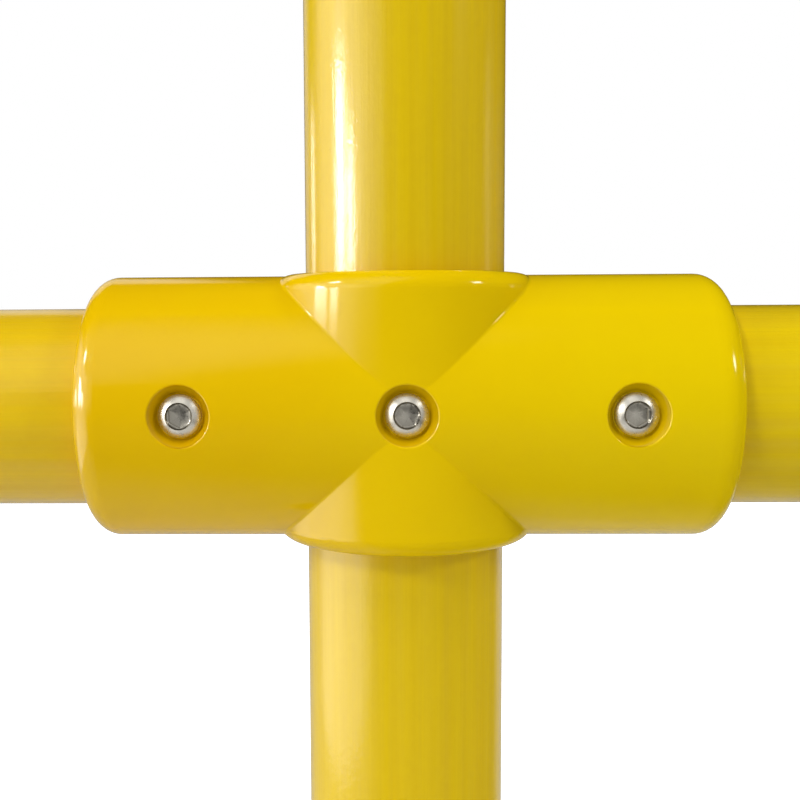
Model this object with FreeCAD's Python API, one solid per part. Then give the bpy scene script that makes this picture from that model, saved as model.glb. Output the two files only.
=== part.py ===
"""Fibreglass handrail, two bays long: pultruded tubes held in moulded socket fittings.

The handrail runs along X and its screws face -Y. The origin is the middle of the
underside of the centre post's base flange, on the ground.
"""
import FreeCAD, Part
import os
from math import cos, pi, radians, sin, sqrt, tan
from FreeCAD import Vector

# Layout of the handrail: heights are those of the rails' axes above the ground.
POST_SPACING = 1200.0
TOP_RAIL_HEIGHT = 1075.0
MID_RAIL_HEIGHT = 550.0

# Pultruded tube of the posts and rails.
TUBE_DIAMETER = 50.0
TUBE_WALL = 5.0

# Moulded socket fittings. Where two barrels of a fitting cross, one is smaller by the branch step.
BORE_CLEARANCE = 0.25
FITTING_WALL = 7.6
SOCKET_DEPTH = 48.0
STOP_WEB = 4.5
TUBE_END_GAP = 1.0
BRANCH_STEP = 0.3
BOSS_PROUD = 0.2
MOUTH_ROUND = 6.0
BOSS_ROUND = 4.0
CREASE_ROUND = 0.7
BEND_RADIUS = 42.0

# Moulded base flange with its anchor holes.
FLANGE_DIAMETER = 150.0
FLANGE_THICKNESS = 14.0
FLANGE_FLOOR = 10.0
FLANGE_SOCKET_DEPTH = 75.0
FLANGE_EDGE_ROUND = 4.0
FLANGE_FOOT_FILLET = 7.0
ANCHOR_CIRCLE_DIAMETER = 116.0
ANCHOR_HOLE_DIAMETER = 14.0
ANCHOR_COUNT = 4

# Button-head socket screws, each sunk in a round recess of its fitting.
SCREW_DIAMETER = 6.0
SCREW_LENGTH = 12.0
SCREW_CLEARANCE = 0.2
HEAD_DIAMETER = 10.0
HEAD_SIDE = 0.9
HEAD_DOME_RADIUS = 7.2
HEX_ACROSS_FLATS = 5.0
HEX_DEPTH = 1.8
HEX_LEAD_DIAMETER = 6.2
HEX_LEAD_ANGLE = 30.0
RECESS_DIAMETER = 14.2
RECESS_ROUND = 0.4
RECESS_SEAT_WALL = 4.0
SCREW_INSET = 25.5

# Sizes that follow from those above.
TUBE_RADIUS = TUBE_DIAMETER / 2
BORE_RADIUS = TUBE_RADIUS + BORE_CLEARANCE
RUN_RADIUS = BORE_RADIUS + FITTING_WALL
BRANCH_RADIUS = RUN_RADIUS - BRANCH_STEP
BOSS_HALF_HEIGHT = RUN_RADIUS + BOSS_PROUD
SOCKET_FLOOR = BORE_RADIUS + STOP_WEB
REACH = SOCKET_FLOOR + SOCKET_DEPTH
TUBE_STOP = SOCKET_FLOOR + TUBE_END_GAP
SCREW_REACH = REACH - SCREW_INSET
SEAT_RADIUS = BORE_RADIUS + RECESS_SEAT_WALL
FLANGE_TOP = FLANGE_FLOOR + FLANGE_SOCKET_DEPTH
FLANGE_SCREW_HEIGHT = FLANGE_TOP - SCREW_INSET
POST_PLACES = {"left": -POST_SPACING, "centre": 0.0, "right": POST_SPACING}

ORIGIN = Vector(0, 0, 0)
X = Vector(1, 0, 0)
Y = Vector(0, 1, 0)
Z = Vector(0, 0, 1)


def at(x, z):
    """A point on the handrail's middle plane."""
    return Vector(x, 0, z)


def quarter_arc(start, end, centre):
    """A quarter circle from start to end about centre."""
    radius = (start - centre).Length
    middle = centre + ((start - centre) + (end - centre)).normalize() * radius
    return Part.Arc(start, middle, end).toShape()


def turned(edges, axis):
    """A solid of revolution about an axis through the origin."""
    return Part.Face(Part.Wire(edges)).revolve(ORIGIN, axis, 360)


def barrel(radius, start, end, start_round, end_round, axis):
    """A round bar along axis, with its two rims rounded."""
    def point(along, out):
        return axis * along + Y * out

    edges = [Part.makeLine(point(start, 0), point(start, radius - start_round))]
    if start_round > 0:
        centre = point(start + start_round, radius - start_round)
        edges.append(quarter_arc(edges[-1].Vertexes[-1].Point, point(start + start_round, radius), centre))
    edges.append(Part.makeLine(point(start + start_round, radius), point(end - end_round, radius)))
    if end_round > 0:
        centre = point(end - end_round, radius - end_round)
        edges.append(quarter_arc(point(end - end_round, radius), point(end, radius - end_round), centre))
    edges.append(Part.makeLine(point(end, radius - end_round), point(end, 0)))
    edges.append(Part.makeLine(point(end, 0), point(start, 0)))
    return turned(edges, axis)


def run(axis):
    """The long barrel of a fitting, open at both ends."""
    return barrel(RUN_RADIUS, -REACH, REACH, MOUTH_ROUND, MOUTH_ROUND, axis)


def arm(radius, axis):
    """A barrel that leaves the fitting on one side only."""
    return barrel(radius, 0, REACH, 0, MOUTH_ROUND, axis)


def boss(radius):
    """The short barrel that a post passes through."""
    return barrel(radius, -BOSS_HALF_HEIGHT, BOSS_HALF_HEIGHT, BOSS_ROUND, BOSS_ROUND, Z)


def socket(axis):
    """The hole that a tube end slides into, down to its floor."""
    return Part.makeCylinder(BORE_RADIUS, SOCKET_DEPTH, axis * SOCKET_FLOOR, axis)


def post_hole():
    """The hole through a boss."""
    return Part.makeCylinder(BORE_RADIUS, 2 * BOSS_HALF_HEIGHT, at(0, -BOSS_HALF_HEIGHT), Z)


def screw_hole(place):
    """The hole for a screw's shank, from the front as far as the tube's axis."""
    radius = SCREW_DIAMETER / 2 + SCREW_CLEARANCE
    return Part.makeCylinder(radius, RUN_RADIUS, place - Y * RUN_RADIUS, Y)


def screw_recess(place):
    """The round recess that a screw's head sits in."""
    depth = BOSS_HALF_HEIGHT - SEAT_RADIUS
    return Part.makeCylinder(RECESS_DIAMETER / 2, depth, place - Y * BOSS_HALF_HEIGHT, Y)


def creases(body):
    """The edges along which two crossing barrels meet."""
    found = []
    for edge in body.Edges:
        surfaces = [face.Surface for face in body.ancestorsOfType(edge, Part.Face)]
        if len(surfaces) == 2 and all(hasattr(surface, "Axis") for surface in surfaces):
            if surfaces[0].Axis.cross(surfaces[1].Axis).Length > 0.5:
                found.append(edge)
    return found


def recess_lips(body):
    """The edges where the recesses open on a fitting's front."""
    found = []
    for edge in body.Edges:
        surfaces = [face.Surface for face in body.ancestorsOfType(edge, Part.Face)]
        walls = [surface for surface in surfaces if isinstance(surface, Part.Cylinder)
                 and abs(surface.Radius - RECESS_DIAMETER / 2) < SCREW_CLEARANCE / 2
                 and abs(surface.Axis.y) > 0.5]
        floors = [surface for surface in surfaces if isinstance(surface, Part.Plane)]
        if len(surfaces) == 2 and len(walls) == 1 and not floors:
            found.append(edge)
    return found


def drilled(body, holes, screws):
    """Cuts a fitting's sockets and screw recesses, and rounds the recesses' lips."""
    cuts = holes + [screw_recess(place) for place in screws] + [screw_hole(place) for place in screws]
    body = body.cut(cuts)
    return body.makeFillet(RECESS_ROUND, recess_lips(body))


def moulded(barrels, holes, screws):
    """A fitting of crossing barrels, with rounded creases between them."""
    body = barrels[0].fuse(barrels[1:]).removeSplitter()
    body = body.makeFillet(CREASE_ROUND, creases(body))
    return drilled(body, holes, screws)


def mid_cross(screws):
    """The fitting where a post passes through the middle rails."""
    return moulded([run(X), boss(BRANCH_RADIUS)], [socket(X), socket(-X), post_hole()], screws)


def mid_tee(inward, screws):
    """The fitting that holds a middle rail to an end post."""
    return moulded([boss(RUN_RADIUS), arm(BRANCH_RADIUS, inward)], [socket(inward), post_hole()], screws)


def top_tee(screws):
    """The fitting that carries the top rails on the centre post."""
    return moulded([run(X), arm(BRANCH_RADIUS, -Z)], [socket(X), socket(-X), socket(-Z)], screws)


def top_elbow(inward, screws):
    """The bend that joins an end post to its top rail."""
    centre = (inward - Z) * BEND_RADIUS
    disc = Part.Face(Part.Wire(Part.makeCircle(RUN_RADIUS, inward * BEND_RADIUS, inward)))
    bend = disc.revolve(centre, inward.cross(Z), 90)
    arms = [barrel(RUN_RADIUS, BEND_RADIUS, REACH, 0, MOUTH_ROUND, axis) for axis in (inward, -Z)]
    return drilled(bend.fuse(arms).removeSplitter(), [socket(inward), socket(-Z)], screws)


def base_flange(screws):
    """The foot of a post: a round plate and a socket, turned from one profile."""
    rim = FLANGE_DIAMETER / 2
    foot = RUN_RADIUS + FLANGE_FOOT_FILLET
    plate_side = FLANGE_THICKNESS - FLANGE_EDGE_ROUND
    neck = FLANGE_THICKNESS + FLANGE_FOOT_FILLET
    shoulder = FLANGE_TOP - MOUTH_ROUND
    edges = [
        Part.makeLine(at(0, 0), at(rim, 0)),
        Part.makeLine(at(rim, 0), at(rim, plate_side)),
        quarter_arc(at(rim, plate_side), at(rim - FLANGE_EDGE_ROUND, FLANGE_THICKNESS),
                    at(rim - FLANGE_EDGE_ROUND, plate_side)),
        Part.makeLine(at(rim - FLANGE_EDGE_ROUND, FLANGE_THICKNESS), at(foot, FLANGE_THICKNESS)),
        quarter_arc(at(foot, FLANGE_THICKNESS), at(RUN_RADIUS, neck), at(foot, neck)),
        Part.makeLine(at(RUN_RADIUS, neck), at(RUN_RADIUS, shoulder)),
        quarter_arc(at(RUN_RADIUS, shoulder), at(RUN_RADIUS - MOUTH_ROUND, FLANGE_TOP),
                    at(RUN_RADIUS - MOUTH_ROUND, shoulder)),
        Part.makeLine(at(RUN_RADIUS - MOUTH_ROUND, FLANGE_TOP), at(BORE_RADIUS, FLANGE_TOP)),
        Part.makeLine(at(BORE_RADIUS, FLANGE_TOP), at(BORE_RADIUS, FLANGE_FLOOR)),
        Part.makeLine(at(BORE_RADIUS, FLANGE_FLOOR), at(0, FLANGE_FLOOR)),
        Part.makeLine(at(0, FLANGE_FLOOR), at(0, 0)),
    ]
    anchor_holes = []
    for count in range(ANCHOR_COUNT):
        angle = (count + 0.5) * 2 * pi / ANCHOR_COUNT
        place = Vector(cos(angle), sin(angle), 0) * (ANCHOR_CIRCLE_DIAMETER / 2)
        anchor_holes.append(Part.makeCylinder(ANCHOR_HOLE_DIAMETER / 2, FLANGE_THICKNESS, place, Z))
    return drilled(turned(edges, Z), anchor_holes, screws)


def tube(start, end, screws):
    """A length of tube from start to end, drilled for its screws."""
    along = end - start
    outside = Part.makeCylinder(TUBE_RADIUS, along.Length, start, along)
    inside = Part.makeCylinder(TUBE_RADIUS - TUBE_WALL, along.Length, start, along)
    return outside.cut([inside] + [screw_hole(place) for place in screws])


def screw(place):
    """A screw whose head sits on the floor of its recess, facing -Y."""
    head = HEAD_DIAMETER / 2
    lead = HEX_LEAD_DIAMETER / 2
    shank = SCREW_DIAMETER / 2
    seat = -SEAT_RADIUS
    tip = seat + SCREW_LENGTH
    dome_centre = seat - HEAD_SIDE + sqrt(HEAD_DOME_RADIUS ** 2 - head ** 2)

    def on_dome(radius):
        return Vector(radius, dome_centre - sqrt(HEAD_DOME_RADIUS ** 2 - radius ** 2), 0)

    top = on_dome(lead).y
    edges = [
        Part.makeLine(Vector(0, top, 0), on_dome(lead)),
        Part.Arc(on_dome(lead), on_dome((lead + head) / 2), on_dome(head)).toShape(),
        Part.makeLine(on_dome(head), Vector(head, seat, 0)),
        Part.makeLine(Vector(head, seat, 0), Vector(shank, seat, 0)),
        Part.makeLine(Vector(shank, seat, 0), Vector(shank, tip, 0)),
        Part.makeLine(Vector(shank, tip, 0), Vector(0, tip, 0)),
        Part.makeLine(Vector(0, tip, 0), Vector(0, top, 0)),
    ]
    return turned(edges, Y).cut(key_socket(top)).translated(place)


def key_socket(top):
    """The hexagon for the key and the cone that leads into it, cut from a head's top."""
    corner = HEX_ACROSS_FLATS / sqrt(3)
    angles = [radians(60 * count) for count in range(7)]
    hexagon = [Vector(corner * cos(angle), top, corner * sin(angle)) for angle in angles]
    lead = HEX_LEAD_DIAMETER / 2
    cone = Part.makeCone(lead, 0, lead * tan(radians(HEX_LEAD_ANGLE)), Vector(0, top, 0), Y)
    return [Part.Face(Part.makePolygon(hexagon)).extrude(Y * HEX_DEPTH), cone]


# Places of the screws, measured from the middle of each fitting.
RAIL_SCREWS = {"left": at(-SCREW_REACH, 0), "right": at(SCREW_REACH, 0)}
POST_SCREW = at(0, 0)
LEG_SCREW = at(0, -SCREW_REACH)
FLANGE_SCREW = at(0, FLANGE_SCREW_HEIGHT)

# Each fitting is made about its own middle and then put, with its screws, at its place.
MIDDLE = Z * MID_RAIL_HEIGHT
TOP = Z * TOP_RAIL_HEIGHT
fittings = {}


def add_fitting(name, shape, middle, screws):
    """Puts a fitting at its place and keeps the places of its screws."""
    fittings[name] = (shape.translated(middle), [middle + place for place in screws])


for side, post_x in POST_PLACES.items():
    add_fitting(side + "_base_flange", base_flange([FLANGE_SCREW]), X * post_x, [FLANGE_SCREW])

cross_screws = [RAIL_SCREWS["left"], POST_SCREW, RAIL_SCREWS["right"]]
add_fitting("centre_mid_cross", mid_cross(cross_screws), MIDDLE, cross_screws)
tee_screws = [RAIL_SCREWS["left"], LEG_SCREW, RAIL_SCREWS["right"]]
add_fitting("centre_top_tee", top_tee(tee_screws), TOP, tee_screws)

for side, inward, rail_screw in (("left", X, RAIL_SCREWS["right"]), ("right", -X, RAIL_SCREWS["left"])):
    post_line = X * POST_PLACES[side]
    tee_screws = [POST_SCREW, rail_screw]
    add_fitting(side + "_mid_tee", mid_tee(inward, tee_screws), post_line + MIDDLE, tee_screws)
    elbow_screws = [LEG_SCREW, rail_screw]
    add_fitting(side + "_top_elbow", top_elbow(inward, elbow_screws), post_line + TOP, elbow_screws)

# The tubes run from stop to stop between the fittings.
all_screws = [place for shape, screws in fittings.values() for place in screws]
tubes = {}
for side, post_x in POST_PLACES.items():
    post_screws = [place for place in all_screws if abs(place.x - post_x) < TUBE_RADIUS]
    tubes[side + "_post"] = tube(at(post_x, FLANGE_FLOOR), at(post_x, TOP_RAIL_HEIGHT - TUBE_STOP),
                                 post_screws)
for level, height in (("mid", MID_RAIL_HEIGHT), ("top", TOP_RAIL_HEIGHT)):
    for side, start_x in (("left", POST_PLACES["left"]), ("right", POST_PLACES["centre"])):
        start = at(start_x + TUBE_STOP, height)
        end = at(start_x + POST_SPACING - TUBE_STOP, height)
        rail_screws = [place for place in all_screws
                       if abs(place.z - height) < TUBE_RADIUS and start.x < place.x < end.x]
        tubes[side + "_" + level + "_rail"] = tube(start, end, rail_screws)

os.makedirs("parts", exist_ok=True)
for name, shape in tubes.items():
    shape.exportStep("parts/" + name + ".step")
for name, (shape, screws) in fittings.items():
    shape.exportStep("parts/" + name + ".step")
    Part.makeCompound([screw(place) for place in screws]).exportStep("parts/" + name + "_screws.step")
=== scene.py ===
"""Looks of the fibreglass handrail: pultruded yellow tubes in moulded fittings, with steel screws."""
import bpy
from math import cos, pi, radians, sin
from mathutils import Matrix, Vector


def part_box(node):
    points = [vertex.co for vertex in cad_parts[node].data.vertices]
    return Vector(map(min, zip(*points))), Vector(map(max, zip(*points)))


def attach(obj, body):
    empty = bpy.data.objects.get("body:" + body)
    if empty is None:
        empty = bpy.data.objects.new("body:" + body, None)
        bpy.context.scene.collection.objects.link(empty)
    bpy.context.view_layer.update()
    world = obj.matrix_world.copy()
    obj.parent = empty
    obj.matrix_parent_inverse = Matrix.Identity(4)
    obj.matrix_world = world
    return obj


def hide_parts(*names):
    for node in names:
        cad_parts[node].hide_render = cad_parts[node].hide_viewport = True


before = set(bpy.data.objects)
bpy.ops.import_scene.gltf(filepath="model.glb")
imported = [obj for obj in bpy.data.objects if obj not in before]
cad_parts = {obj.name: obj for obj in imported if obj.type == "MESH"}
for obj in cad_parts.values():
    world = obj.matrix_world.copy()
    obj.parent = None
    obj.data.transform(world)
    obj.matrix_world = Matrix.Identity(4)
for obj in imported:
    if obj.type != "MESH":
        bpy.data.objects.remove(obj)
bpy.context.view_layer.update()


# Posts and rails: pultruded glass-fibre tube, pigmented yellow. It is drawn through a heated die,
# so glass rovings show as faint streaks along it and the surface veil as a fine mottle.
# Each length runs from stop to stop inside the fittings.
TUBE_WALL = 0.005
TUBE_SIDES = 160
TUBE_CORNER_ANGLE = radians(40)
# The pigment of each tube, from golden at 0 to lemon at 1: they came from several batches.
TUBE_PIGMENT = {"left_post": 0.5, "centre_post": 0.6, "right_post": 0.7, "left_mid_rail": 0.0,
                "right_mid_rail": 1.0, "left_top_rail": 0.3, "right_top_rail": 0.8}
# Each tube's pattern is shifted along it by these steps. On the centre post the shift makes the stretch
# below the crossing lighter than the stretch above, as painted light from below.
PATTERN_START = 1.5
PATTERN_STEP = 2.0


def colour(code):
    """A linear colour, with alpha, from the sRGB hex code it is known by."""
    parts = [int(code[place:place + 2], 16) / 255 for place in (0, 2, 4)]
    linear = [part / 12.92 if part <= 0.04045 else ((part + 0.055) / 1.055) ** 2.4 for part in parts]
    return linear + [1.0]


def add(tree, kind, inputs={}, **settings):
    """Adds a node, sets its properties, and sets or links its inputs by name or number."""
    node = tree.nodes.new(kind)
    for name, value in settings.items():
        setattr(node, name, value)
    for name, value in inputs.items():
        if isinstance(value, bpy.types.NodeSocket):
            tree.links.new(value, node.inputs[name])
        else:
            node.inputs[name].default_value = value
    return node


def new_material(name):
    """An empty material with its node tree."""
    material = bpy.data.materials.new(name)
    material.use_nodes = True
    material.node_tree.nodes.clear()
    return material, material.node_tree


# A mottle lies mostly between these levels, which are the From inputs of a Map Range.
MOTTLE_SPAN = {1: 0.25, 2: 0.75}


def mottle(tree, place, size, detail, **more):
    """A pattern from 0 to 1 whose patches have the given size in metres along each axis of a place."""
    scaled = add(tree, "ShaderNodeVectorMath", {0: place, 1: [1 / length for length in size]},
                 operation="MULTIPLY")
    return add(tree, "ShaderNodeTexNoise", {
        "Vector": scaled.outputs[0], "Scale": 1.0, "Detail": detail, **more}).outputs[0]


def pultruded_tube_material():
    """Polyester over glass rovings, which run along the third axis of tube_place.

    It has a hazy gloss under a thin clear one. Single filaments are too fine to show, so the strands
    are drawn half a millimetre wide."""
    material, tree = new_material("pultruded_yellow_grp")
    place = add(tree, "ShaderNodeAttribute", attribute_name="tube_place").outputs["Vector"]
    pigment = add(tree, "ShaderNodeAttribute", attribute_name="pigment").outputs["Fac"]
    rovings = mottle(tree, place, (0.0030, 0.0030, 0.60), 3.0)
    strands = mottle(tree, place, (0.0005, 0.0005, 0.03), 2.0)
    veil = mottle(tree, place, (0.0016, 0.0016, 0.0022), 3.0)
    grain = mottle(tree, place, (0.0005, 0.0005, 0.0012), 2.0)
    # A slow drift in brightness along the tubes: tone that differs at random, and on the centre post
    # painted light from below as well.
    drift = mottle(tree, place, (0.25, 0.25, 0.25), 1.0)
    bloom = mottle(tree, place, (0.0036, 0.0036, 0.14), 2.0, Distortion=0.3)
    ridges = mottle(tree, place, (0.0045, 0.0045, 0.12), 1.0)
    streak, strand_share, veil_share, brightness, roughness, haze = [
        add(tree, "ShaderNodeMapRange", {0: pattern, **MOTTLE_SPAN, 3: least, 4: most}).outputs[0]
        for pattern, least, most in ((rovings, 0.0, 1.0), (strands, 0.0, 0.35), (veil, 0.0, 0.22),
                                     (drift, 0.95, 1.09), (strands, 0.34, 0.50), (bloom, 0.05, 0.26))]
    golden, lemon = [
        add(tree, "ShaderNodeMix", {0: streak, 6: colour(deep), 7: colour(pale)},
            data_type="RGBA").outputs[2]
        for deep, pale in (("E0B600", "E8C000"), ("E0BE00", "E8CA00"))]
    base = golden
    for share, shade in ((pigment, lemon), (strand_share, colour("D8B400")),
                         (veil_share, colour("EACC00"))):
        base = add(tree, "ShaderNodeMix", {0: share, 6: base, 7: shade}, data_type="RGBA").outputs[2]
    base = add(tree, "ShaderNodeVectorMath", {0: base, "Scale": brightness}, operation="SCALE").outputs[0]
    ridged = add(tree, "ShaderNodeBump", {"Strength": 1.0, "Distance": 0.000025, "Height": ridges})
    height = veil
    for pattern in (strands, grain):
        height = add(tree, "ShaderNodeMath", {0: pattern, 1: 0.8, 2: height},
                     operation="MULTIPLY_ADD").outputs[0]
    bump = add(tree, "ShaderNodeBump", {"Strength": 1.0, "Distance": 0.000032, "Height": height,
                                        "Normal": ridged.outputs[0]})
    shader = add(tree, "ShaderNodeBsdfPrincipled", {
        "Base Color": base, "Roughness": roughness, "Specular IOR Level": haze,
        "Normal": bump.outputs[0], "Coat Weight": 1.0, "Coat Roughness": 0.11,
        "Coat Normal": bump.outputs[0]})
    add(tree, "ShaderNodeOutputMaterial", {"Surface": shader.outputs[0]})
    return material


def tube_tree():
    """Geometry Nodes that make a tube along Z from its middle, with its place in the fibre pattern."""
    tree = bpy.data.node_groups.new("pultruded_tube", "GeometryNodeTree")
    for name, kind in (("Length", "Float"), ("Outer Radius", "Float"), ("Wall", "Float"),
                       ("Sides", "Int"), ("Pattern Shift", "Float"), ("Pigment", "Float"),
                       ("Material", "Material")):
        tree.interface.new_socket(name, in_out="INPUT", socket_type="NodeSocket" + kind)
    tree.interface.new_socket("Geometry", in_out="OUTPUT", socket_type="NodeSocketGeometry")
    given = tree.nodes.new("NodeGroupInput").outputs
    middle = add(tree, "ShaderNodeMath", {0: given["Wall"], 1: -0.5, 2: given["Outer Radius"]},
                 operation="MULTIPLY_ADD").outputs[0]
    path = add(tree, "GeometryNodeCurvePrimitiveCircle", {
        "Resolution": given["Sides"], "Radius": middle})
    section = add(tree, "GeometryNodeCurvePrimitiveQuadrilateral", {
        "Width": given["Wall"], "Height": given["Length"]})
    swept = add(tree, "GeometryNodeCurveToMesh", {
        "Curve": path.outputs[0], "Profile Curve": section.outputs[0]})
    corner = add(tree, "FunctionNodeCompare", {0: add(tree, "GeometryNodeInputMeshEdgeAngle").outputs[0],
                                               1: TUBE_CORNER_ANGLE}, operation="LESS_THAN")
    smooth = add(tree, "GeometryNodeSetShadeSmooth", {
        "Geometry": swept.outputs[0], "Shade Smooth": corner.outputs[0]}, domain="EDGE")
    shift = add(tree, "ShaderNodeCombineXYZ", {"Z": given["Pattern Shift"]})
    place = add(tree, "ShaderNodeVectorMath", {0: add(tree, "GeometryNodeInputPosition").outputs[0],
                                               1: shift.outputs[0]}, operation="ADD")
    stored = add(tree, "GeometryNodeStoreNamedAttribute", {
        "Geometry": smooth.outputs[0], "Name": "tube_place", "Value": place.outputs[0]},
                 data_type="FLOAT_VECTOR")
    tinted = add(tree, "GeometryNodeStoreNamedAttribute", {
        "Geometry": stored.outputs[0], "Name": "pigment", "Value": given["Pigment"]}, data_type="FLOAT")
    real = add(tree, "GeometryNodeRealizeInstances", {"Geometry": tinted.outputs[0]})
    done = add(tree, "GeometryNodeSetMaterial", {
        "Geometry": real.outputs[0], "Material": given["Material"]})
    add(tree, "NodeGroupOutput", {"Geometry": done.outputs[0]})
    return tree


def grown(name, tree, inputs, mesh=None):
    """An object whose plain mesh a node tree has made from the given inputs."""
    thing = bpy.data.objects.new(name, mesh or bpy.data.meshes.new(name))
    bpy.context.scene.collection.objects.link(thing)
    modifier = thing.modifiers.new("grow", "NODES")
    modifier.node_group = tree
    for item in tree.interface.items_tree:
        if item.name in inputs:
            modifier[item.identifier] = inputs[item.name]
    graph = bpy.context.evaluated_depsgraph_get()
    made = bpy.data.meshes.new_from_object(thing.evaluated_get(graph), preserve_all_data_layers=True,
                                           depsgraph=graph)
    thing.modifiers.clear()
    thing.data = made
    made.name = name
    return thing


tube_material = pultruded_tube_material()
tube_nodes = tube_tree()
for count, (name, pigment) in enumerate(TUBE_PIGMENT.items()):
    low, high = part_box(name)
    size = high - low
    upright = size.z > size.x
    piece = grown(name + "_tube", tube_nodes, {
        "Length": max(size), "Outer Radius": size.y / 2, "Wall": TUBE_WALL, "Sides": TUBE_SIDES,
        "Pattern Shift": PATTERN_START + PATTERN_STEP * count, "Pigment": pigment,
        "Material": tube_material})
    turn = Matrix.Identity(4) if upright else Matrix.Rotation(radians(90), 4, "Y")
    piece.data.transform(Matrix.Translation((low + high) / 2) @ turn)
    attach(piece, "root")
    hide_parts(name)


# Fittings: sockets, tees, elbows and base flanges, moulded in glass-fibre polyester with a smooth
# yellow gel coat, which is richer in colour than the tubes. They slide over the tube ends.
FITTING_NAMES = ["centre_mid_cross", "centre_top_tee", "left_mid_tee", "right_mid_tee", "left_top_elbow",
                 "right_top_elbow", "left_base_flange", "centre_base_flange", "right_base_flange"]
# The pigment drifts from golden at the left to lemon at the right, within this distance of the middle.
PIGMENT_DRIFT = 0.07


def gel_coat_material(name, left_shades, right_shades):
    """Glossy gel coat with the slight ripple of a moulded surface."""
    material, tree = new_material(name)
    place = add(tree, "ShaderNodeTexCoord").outputs["Object"]
    clouds = mottle(tree, place, (0.03, 0.03, 0.03), 2.0)
    ripple = mottle(tree, place, (0.004, 0.004, 0.004), 2.0)
    along = add(tree, "ShaderNodeSeparateXYZ", {0: place}).outputs[0]
    drift = add(tree, "ShaderNodeMapRange", {0: along, 1: -PIGMENT_DRIFT, 2: PIGMENT_DRIFT},
                interpolation_type="SMOOTHSTEP").outputs[0]
    cloudy = add(tree, "ShaderNodeMapRange", {0: clouds, **MOTTLE_SPAN, 3: 0.0, 4: 1.0}).outputs[0]
    golden, lemon = [
        add(tree, "ShaderNodeMix", {0: cloudy, 6: colour(deep), 7: colour(pale)},
            data_type="RGBA").outputs[2]
        for deep, pale in (left_shades, right_shades)]
    base = add(tree, "ShaderNodeMix", {0: drift, 6: golden, 7: lemon}, data_type="RGBA").outputs[2]
    bump = add(tree, "ShaderNodeBump", {"Strength": 1.0, "Distance": 0.000012, "Height": ripple})
    shader = add(tree, "ShaderNodeBsdfPrincipled", {
        "Base Color": base, "Roughness": 0.1, "IOR": 1.5, "Normal": bump.outputs[0]})
    add(tree, "ShaderNodeOutputMaterial", {"Surface": shader.outputs[0]})
    return material


fitting_material = gel_coat_material("moulded_yellow_gel_coat", ("E8BB00", "EAC000"),
                                     ("EAC800", "ECCD00"))
for name in FITTING_NAMES:
    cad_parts[name].material_slots[0].material = fitting_material


# Fixing screws: stainless button-head socket screws, one for each tube end and post,
# sunk in the recesses on the front. Each was left turned as it came tight.
HEAD_RADIUS = 0.005
HEAD_SIDE = 0.00112
DOME_RADIUS = 0.0080
DOME_STEPS = 12
SHANK_RADIUS = 0.003
HEX_INSIDE_RADIUS = 0.0024
LIP_RADIUS = 0.00318
LIP_FOOT_RADIUS = 0.0029
LIP_DEPTH = 0.0004
HEX_LEAD_DEPTH = 0.00052
HEX_DEPTH = 0.0018
DRILL_POINT_DEPTH = 0.0025
SCREW_SIDES = 96
SHARP_ANGLE = radians(35)
# Painted shade in the key socket, from 0 to 1: how dark it is at the lip's foot, at the hexagon's mouth
# and round its floor.
SOCKET_PAINTED_SHADE = [1.0, 0.3, 0.6]
# How dark the painted shade is at the tip of the drill point.
DRILL_POINT_PAINTED_SHADE = 0.25


def dome_height(radius):
    """How far the dome's surface stands above its own middle, at a radius."""
    return (DOME_RADIUS ** 2 - radius ** 2) ** 0.5


HEAD_HEIGHT = HEAD_SIDE + dome_height(LIP_RADIUS) - dome_height(HEAD_RADIUS)
# Where the screws stand in the box of each screw node: across and up, from 0 to 1.
SCREW_CORNERS = {
    "centre_mid_cross_screws": [(0, 0.5), (0.5, 0.5), (1, 0.5)],
    "centre_top_tee_screws": [(0, 1), (0.5, 0), (1, 1)],
    "left_mid_tee_screws": [(0, 0.5), (1, 0.5)],
    "right_mid_tee_screws": [(0, 0.5), (1, 0.5)],
    "left_top_elbow_screws": [(0, 0), (1, 1)],
    "right_top_elbow_screws": [(1, 0), (0, 1)],
    "left_base_flange_screws": [(0.5, 0.5)],
    "centre_base_flange_screws": [(0.5, 0.5)],
    "right_base_flange_screws": [(0.5, 0.5)],
}
# How far the screws are turned, in degrees: those of the photo, and a step for all the others.
PHOTOGRAPHED_TURNS = [0.0, 22.0, 0.0]
TURN_STEP = 23.0
HEXAGON_TURN = 60


def screw_ring(radius, depth, hexagon=False):
    """The points of one round or hexagonal loop of a screw, facing -Y from its seat."""
    points = []
    for count in range(SCREW_SIDES):
        angle = 2 * pi * count / SCREW_SIDES
        reach = radius / cos((angle + pi / 6) % (pi / 3) - pi / 6) if hexagon else radius
        points.append(Vector((reach * cos(angle), depth - HEAD_HEIGHT, reach * sin(angle))))
    return points


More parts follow.
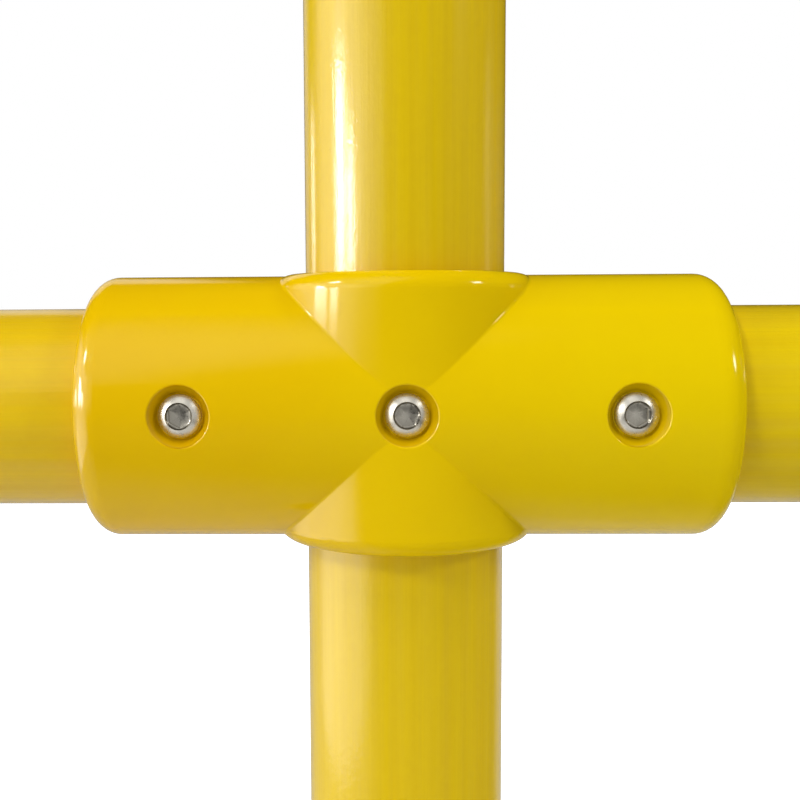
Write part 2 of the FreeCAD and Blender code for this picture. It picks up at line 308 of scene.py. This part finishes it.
def screw_mesh(length):
    """A screw as loops from the tip of its shank, over its head and down into its key socket."""
    loops = [screw_ring(SHANK_RADIUS, HEAD_HEIGHT + length), screw_ring(SHANK_RADIUS, HEAD_HEIGHT),
             screw_ring(HEAD_RADIUS, HEAD_HEIGHT)]
    for step in range(DOME_STEPS + 1):
        radius = HEAD_RADIUS + (LIP_RADIUS - HEAD_RADIUS) * step / DOME_STEPS
        loops.append(screw_ring(radius, dome_height(LIP_RADIUS) - dome_height(radius)))
    loops += [screw_ring(LIP_FOOT_RADIUS, LIP_DEPTH),
              screw_ring(HEX_INSIDE_RADIUS, HEX_LEAD_DEPTH, True),
              screw_ring(HEX_INSIDE_RADIUS, HEX_DEPTH, True)]
    # The last loops, down in the key socket, carry painted shade. The other loops carry none.
    grime = [0.0] * (len(loops) - len(SOCKET_PAINTED_SHADE)) + SOCKET_PAINTED_SHADE
    points = [point for loop in loops for point in loop]
    tip = len(points)
    points += [Vector((0, length, 0)), Vector((0, DRILL_POINT_DEPTH - HEAD_HEIGHT, 0))]
    faces = []
    for side in range(SCREW_SIDES):
        after = (side + 1) % SCREW_SIDES
        for row in range(0, tip - SCREW_SIDES, SCREW_SIDES):
            faces.append([row + side, row + after, row + SCREW_SIDES + after, row + SCREW_SIDES + side])
        faces.append([after, side, tip])
        last = tip - SCREW_SIDES
        faces.append([last + side, last + after, tip + 1])
    mesh = bpy.data.meshes.new("socket_screw")
    mesh.from_pydata(points, [], faces)
    mesh.attributes.new("grime", "FLOAT", "POINT").data.foreach_set(
        "value", [level for level in grime for side in range(SCREW_SIDES)] + [0.0, DRILL_POINT_PAINTED_SHADE])
    mesh.polygons.foreach_set("use_smooth", [True] * len(faces))
    mesh.set_sharp_from_angle(angle=SHARP_ANGLE)
    return mesh


def placing_tree():
    """Geometry Nodes that put a piece at each point, turned by the point's own angle."""
    tree = bpy.data.node_groups.new("pieces_at_points", "GeometryNodeTree")
    for name, kind in (("Geometry", "Geometry"), ("Piece", "Object"), ("Material", "Material")):
        tree.interface.new_socket(name, in_out="INPUT", socket_type="NodeSocket" + kind)
    tree.interface.new_socket("Geometry", in_out="OUTPUT", socket_type="NodeSocketGeometry")
    given = tree.nodes.new("NodeGroupInput").outputs
    turn = add(tree, "GeometryNodeInputNamedAttribute", {"Name": "turn"}, data_type="FLOAT")
    rotation = add(tree, "ShaderNodeCombineXYZ", {"Y": turn.outputs[0]})
    piece = add(tree, "GeometryNodeObjectInfo", {"Object": given["Piece"]})
    placed = add(tree, "GeometryNodeInstanceOnPoints", {
        "Points": given["Geometry"], "Instance": piece.outputs["Geometry"],
        "Rotation": rotation.outputs[0]})
    real = add(tree, "GeometryNodeRealizeInstances", {"Geometry": placed.outputs[0]})
    done = add(tree, "GeometryNodeSetMaterial", {
        "Geometry": real.outputs[0], "Material": given["Material"]})
    add(tree, "NodeGroupOutput", {"Geometry": done.outputs[0]})
    return tree


def steel_material():
    """Tumbled stainless steel, with shade painted darker down into the key socket."""
    material, tree = new_material("stainless_screw_steel")
    place = add(tree, "ShaderNodeTexCoord").outputs["Object"]
    grime = add(tree, "ShaderNodeAttribute", attribute_name="grime").outputs["Fac"]
    grain = mottle(tree, place, (0.0006, 0.0006, 0.0006), 3.0)
    # Painted shade turns the steel dark in the key socket.
    tint = add(tree, "ShaderNodeMix", {0: grime, 6: colour("D4CFC2"), 7: colour("6A6456")},
               data_type="RGBA").outputs[2]
    roughness = add(tree, "ShaderNodeMapRange", {0: grain, **MOTTLE_SPAN, 3: 0.24, 4: 0.36}).outputs[0]
    shader = add(tree, "ShaderNodeBsdfPrincipled", {
        "Base Color": tint, "Metallic": 1.0, "Roughness": roughness})
    add(tree, "ShaderNodeOutputMaterial", {"Surface": shader.outputs[0]})
    return material


seats = []
turns = []
for name, corners in SCREW_CORNERS.items():
    low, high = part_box(name)
    for count, (across, up) in enumerate(corners):
        seats.append(Vector((low.x + HEAD_RADIUS + across * (high.x - low.x - 2 * HEAD_RADIUS),
                             low.y + HEAD_HEIGHT,
                             low.z + HEAD_RADIUS + up * (high.z - low.z - 2 * HEAD_RADIUS))))
        photographed = name == "centre_mid_cross_screws"
        turn = PHOTOGRAPHED_TURNS[count] if photographed else TURN_STEP * len(seats) % HEXAGON_TURN
        turns.append(radians(turn))
points = bpy.data.meshes.new("screw_seats")
points.from_pydata(seats, [], [])
points.attributes.new("turn", "FLOAT", "POINT").data.foreach_set("value", turns)
screw_length = high.y - low.y - HEAD_HEIGHT
screw = bpy.data.objects.new("socket_screw", screw_mesh(screw_length))
placing = placing_tree()
screws = grown("fixing_screws", placing, {"Piece": screw, "Material": steel_material()}, points)
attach(screws, "root")
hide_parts(*SCREW_CORNERS)


# Recess tapers: moulded with the fittings. Each one slopes from the wall of a recess down to the
# seat round the screw's head, so that the recess narrows inwards. Their yellow is painted darker
# than the fittings' yellow, as shade in the recess.
TAPER_OUTSIDE_RADIUS = 0.00715
TAPER_INSIDE_RADIUS = 0.0054
TAPER_HEIGHT = 0.0028
TAPER_HOLLOW = 1.4
TAPER_SUNK = 0.00005
TAPER_STEPS = 6


def taper_mesh():
    """A ring with a slightly hollow slope on its inside, standing on the seat."""
    section = [(TAPER_OUTSIDE_RADIUS, -TAPER_SUNK)]
    for step in range(TAPER_STEPS + 1):
        way = step / TAPER_STEPS
        radius = TAPER_OUTSIDE_RADIUS + (TAPER_INSIDE_RADIUS - TAPER_OUTSIDE_RADIUS) * way
        section.append((radius, TAPER_HEIGHT * (1 - way) ** TAPER_HOLLOW))
    section.append((TAPER_INSIDE_RADIUS, -TAPER_SUNK))
    points = [point for radius, height in section for point in screw_ring(radius, HEAD_HEIGHT - height)]
    faces = []
    for row in range(len(section)):
        first = row * SCREW_SIDES
        second = (row + 1) % len(section) * SCREW_SIDES
        for side in range(SCREW_SIDES):
            after = (side + 1) % SCREW_SIDES
            faces.append([first + side, first + after, second + after, second + side])
    mesh = bpy.data.meshes.new("recess_taper")
    mesh.from_pydata(points, [], faces)
    mesh.polygons.foreach_set("use_smooth", [True] * len(faces))
    mesh.set_sharp_from_angle(angle=SHARP_ANGLE)
    return mesh


taper = bpy.data.objects.new("recess_taper", taper_mesh())
# The tapers' darker yellow is painted shade for the recesses.
recess_material = gel_coat_material("thin_gel_coat_over_laminate", ("D6A600", "D8AA00"),
                                    ("D6B000", "D8B400"))
tapers = grown("recess_tapers", placing, {"Piece": taper, "Material": recess_material}, points)
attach(tapers, "root")


# Studio: a white floor and surround, a soft key from above, and at the left a pale panel and a
# bright strip for the gloss to mirror. Black felt keeps the gloss elsewhere deep in colour, as in
# the photo.
low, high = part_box("centre_mid_cross")
joint = (low + high) / 2


def background_rays(tree):
    """1 for the rays that show the background: from the camera, off gloss and through glass."""
    rays = add(tree, "ShaderNodeLightPath").outputs
    seen = add(tree, "ShaderNodeMath", {0: rays["Is Camera Ray"], 1: rays["Is Glossy Ray"]},
               operation="MAXIMUM")
    return add(tree, "ShaderNodeMath", {0: seen.outputs[0], 1: rays["Is Transmission Ray"]},
               operation="MAXIMUM").outputs[0]


def stage_piece(name, corners, faces, material):
    """A plain mesh of the studio."""
    mesh = bpy.data.meshes.new(name)
    mesh.from_pydata(corners, [], faces)
    mesh.materials.append(material)
    thing = bpy.data.objects.new(name, mesh)
    bpy.context.scene.collection.objects.link(thing)
    return thing


# The paper's glow is 0.2 within 0.3 m of the rail's middle and 0.78 from 1.3 m on, as the inputs of
# a Map Range. A metre along the rail counts as 0.35 m.
FLOOR_GLOW = {1: 0.3, 2: 1.3, 3: 0.2, 4: 0.78}
ALONG_RAIL = 0.35


def floor_material():
    """White paper that keeps a soft shadow. It glows more where the lamps reach less."""
    material, tree = new_material("white_floor_paper")
    place = add(tree, "ShaderNodeTexCoord").outputs["Object"]
    beside = add(tree, "ShaderNodeVectorMath", {0: place, 1: (ALONG_RAIL, 1.0, 1.0)},
                 operation="MULTIPLY").outputs[0]
    away = add(tree, "ShaderNodeVectorMath", {0: beside}, operation="LENGTH").outputs["Value"]
    level = add(tree, "ShaderNodeMapRange", {0: away, **FLOOR_GLOW},
                interpolation_type="SMOOTHSTEP").outputs[0]
    paper = add(tree, "ShaderNodeBsdfDiffuse", {"Color": colour("DDDDDD")})
    glow = add(tree, "ShaderNodeEmission", {"Strength": add(
        tree, "ShaderNodeMath", {0: background_rays(tree), 1: level}, operation="MULTIPLY").outputs[0]})
    both = add(tree, "ShaderNodeAddShader", {0: paper.outputs[0], 1: glow.outputs[0]})
    add(tree, "ShaderNodeOutputMaterial", {"Surface": both.outputs[0]})
    return material


def square(reach):
    """The corners of a square round the middle of the stage, seen from above."""
    return [(-reach, -reach), (reach, -reach), (reach, reach), (-reach, reach)]


FLOOR_REACH = 30.0
stage_piece("floor", [(x, y, 0) for x, y in square(FLOOR_REACH)], [(0, 1, 2, 3)], floor_material())

world = bpy.data.worlds.new("studio")
world.use_nodes = True
world.node_tree.nodes.clear()
sky = add(world.node_tree, "ShaderNodeMix", {
    0: background_rays(world.node_tree), 6: colour("9F9F9F"), 7: colour("FFFFFF")}, data_type="RGBA")
background = add(world.node_tree, "ShaderNodeBackground", {"Color": sky.outputs[2]})
add(world.node_tree, "ShaderNodeOutputWorld", {"Surface": background.outputs[0]})
bpy.context.scene.world = world


def card_material(name, near_shade, far_shade):
    """Felt or card, shaded from front right to back left, with the change under the joint."""
    material, tree = new_material(name)
    place = add(tree, "ShaderNodeTexCoord").outputs["Object"]
    across, back = add(tree, "ShaderNodeSeparateXYZ", {0: place}).outputs[:2]
    back_left = add(tree, "ShaderNodeMath", {0: back, 1: across}, operation="SUBTRACT").outputs[0]
    turned = add(tree, "ShaderNodeMapRange", {0: back_left, 1: -0.35, 2: 0.2},
                 interpolation_type="SMOOTHSTEP").outputs[0]
    shade = add(tree, "ShaderNodeMix", {0: turned, 6: colour(near_shade), 7: colour(far_shade)},
                data_type="RGBA").outputs[2]
    felt = add(tree, "ShaderNodeBsdfDiffuse", {"Color": shade})
    add(tree, "ShaderNodeOutputMaterial", {"Surface": felt.outputs[0]})
    return material


def card(name, corners, faces, material):
    """A hanging or a floor card that only the gloss sees."""
    thing = stage_piece(name, corners, faces, material)
    thing.visible_camera = thing.visible_diffuse = False
    thing.visible_transmission = thing.visible_shadow = False


# The felt hangs round the stage and over it. The card on the floor is black in front and grey behind.
ROOM_REACH = 6.0
CARD_LIFT = 0.003
plan = square(ROOM_REACH)
card("black_felt_hangings", [(x, y, z) for z in (0, ROOM_REACH) for x, y in plan],
     [(0, 1, 5, 4), (1, 2, 6, 5), (2, 3, 7, 6), (3, 0, 4, 7), (4, 5, 6, 7)],
     card_material("black_felt", "202020", "202020"))
card("graded_floor_card", [(x, y, CARD_LIFT) for x, y in plan], [(0, 1, 2, 3)],
     card_material("graded_card", "202020", "B0B0B0"))


def soft_light(name, bearing, elevation, distance, width, height, watts, seen_by,
               feather=(0.01, 0.01, 0.01)):
    """An area lamp that looks at the joint from a bearing, right of the camera's side, and an elevation.

    It fades out over the feather: a share of its width at both sides, and of its height below and
    above."""
    lamp = bpy.data.lights.new(name, "AREA")
    lamp.shape = "RECTANGLE"
    lamp.size = width
    lamp.size_y = height
    lamp.energy = watts
    lamp.use_nodes = True
    tree = lamp.node_tree
    tree.nodes.clear()
    place = add(tree, "ShaderNodeNewGeometry").outputs["Parametric"]
    across, up = add(tree, "ShaderNodeSeparateXYZ", {0: place}).outputs[:2]
    from_side = add(tree, "ShaderNodeMath", {0: across, 1: 0.5}, operation="PINGPONG").outputs[0]
    from_top = add(tree, "ShaderNodeMath", {0: 1.0, 1: up}, operation="SUBTRACT").outputs[0]
    strength = 1.0
    for inside, share in zip((from_side, up, from_top), feather):
        fade = add(tree, "ShaderNodeMapRange", {0: inside, 1: 0.0, 2: share},
                   interpolation_type="SMOOTHSTEP")
        strength = add(tree, "ShaderNodeMath", {0: fade.outputs[0], 1: strength},
                       operation="MULTIPLY").outputs[0]
    glow = add(tree, "ShaderNodeEmission", {"Strength": strength})
    add(tree, "ShaderNodeOutputLight", {0: glow.outputs[0]})
    thing = bpy.data.objects.new(name, lamp)
    bpy.context.scene.collection.objects.link(thing)
    side, rise = radians(bearing), radians(elevation)
    away = Vector((sin(side) * cos(rise), -cos(side) * cos(rise), sin(rise)))
    thing.location = joint + away * distance
    thing.rotation_euler = away.to_track_quat("Z", "Y").to_euler()
    thing.visible_camera = False
    thing.visible_diffuse = "paint" in seen_by
    thing.visible_glossy = "gloss" in seen_by
    return thing


soft_light("key_softbox", -42, 39, 5.0, 0.9, 0.9, 73, "paint")
soft_light("right_softbox", 68, 28, 5.0, 0.9, 0.9, 49, "paint")
soft_light("left_fill", -60, 8, 5.0, 1.8, 0.9, 41, "paint")
soft_light("top_fill", -30, 72, 5.0, 1.8, 1.8, 80, "paint")
soft_light("left_rim_fill", -112, 8, 5.0, 1.8, 0.9, 56, "paint")
soft_light("right_rim_fill", 112, 8, 5.0, 1.8, 0.9, 48, "paint")
soft_light("back_fill", 150, 5, 5.0, 1.8, 0.8, 115, "paint")
soft_light("left_panel", -80, -3, 1.1, 2.2, 1.4, 19, "gloss", (0.4, 0.1, 0.1))
soft_light("front_left_panel", -42, 12, 3.0, 2.93, 2.18, 26, "gloss", (0.5, 0.5, 0.5))
soft_light("strip_left_pane", -77.3, 7.3, 1.9, 0.46, 0.57, 18.5, "gloss", (0.06, 0.45, 0.1))
soft_light("strip_right_pane", -63.4, 5.6, 1.9, 0.26, 0.43, 8.5, "gloss", (0.08, 0.55, 0.15))
soft_light("left_window", -70, 33, 3.0, 0.35, 0.5, 17, "gloss", (0.1, 0.1, 0.1))
soft_light("thin_strip", -129, 7, 2.0, 0.34, 0.5, 2.4, "gloss", (0.3, 0.4, 0.3))
soft_light("back_left_panel", -152, 0, 3.0, 1.6, 3.0, 7, "gloss", (0.3, 0.1, 0.1))
soft_light("back_left_window", -155, 30, 3.0, 1.5, 1.0, 3.0, "gloss", (0.2, 0.2, 0.2))
soft_light("right_strip", 106, 8, 2.0, 0.2, 0.6, 0.26, "gloss", (0.3, 0.2, 0.2))
soft_light("right_window", 68, 27, 3.0, 0.5, 0.5, 11, "gloss", (0.1, 0.1, 0.1))
CEILING_PLACE = Vector((-2.07, -1.34, 1.5))
CEILING_TURN = -24.8
ceiling = soft_light("ceiling_panel", 0, 90, 1.5, 4.0, 3.6, 30, "gloss", (0.12, 0.03, 0.25))
ceiling.location = joint + CEILING_PLACE
ceiling.rotation_euler = (0, 0, radians(CEILING_TURN))
# The steel alone also mirrors soft light in front, below and above, and brighter light at its sides.
steel = bpy.data.collections.new("steel")
steel.objects.link(screws)
for lamp in (soft_light("steel_front_fill", 25, 8, 1.5, 3.0, 4.0, 26, "gloss", (0.3, 0.2, 0.2)),
             soft_light("steel_left_fill", -48, 18, 3.0, 1.5, 1.8, 22, "gloss", (0.2, 0.2, 0.2)),
             soft_light("steel_right_fill", 51, 32, 3.0, 1.0, 1.0, 8, "gloss", (0.3, 0.3, 0.3)),
             soft_light("steel_top_fill", -5, 52, 3.0, 2.5, 2.4, 12, "gloss", (0.3, 0.3, 0.3)),
             soft_light("steel_low_fill", 0, -48, 0.6, 1.2, 0.5, 1.6, "gloss", (0.2, 0.2, 0.2))):
    lamp.light_linking.receiver_collection = steel

# The camera stands close in front of the centre crossing, a little above it, and the photo is cut
# off-centre.
CAMERA_PLACE = Vector((-0.00428, -0.28016, 0.02179))
CAMERA_PAN = -1.59
CAMERA_TILT = 5.22
CAMERA_ROLL = -0.34
CAMERA_SENSOR = 36.0
CAMERA_LENS = 49.4
CAMERA_SHIFT = (0.0527, 0.0252)
CAMERA_NEAREST = 0.01
camera_data = bpy.data.cameras.new("photo_camera")
camera_data.sensor_width = CAMERA_SENSOR
camera_data.lens = CAMERA_LENS
camera_data.shift_x, camera_data.shift_y = CAMERA_SHIFT
camera_data.clip_start = CAMERA_NEAREST
camera = bpy.data.objects.new("photo_camera", camera_data)
bpy.context.scene.collection.objects.link(camera)
camera.matrix_world = (Matrix.Translation(joint + CAMERA_PLACE)
                       @ Matrix.Rotation(-radians(CAMERA_PAN), 4, "Z")
                       @ Matrix.Rotation(radians(90 - CAMERA_TILT), 4, "X")
                       @ Matrix.Rotation(radians(CAMERA_ROLL), 4, "Z"))
bpy.context.scene.camera = camera
bpy.context.scene.view_settings.view_transform = "Standard"
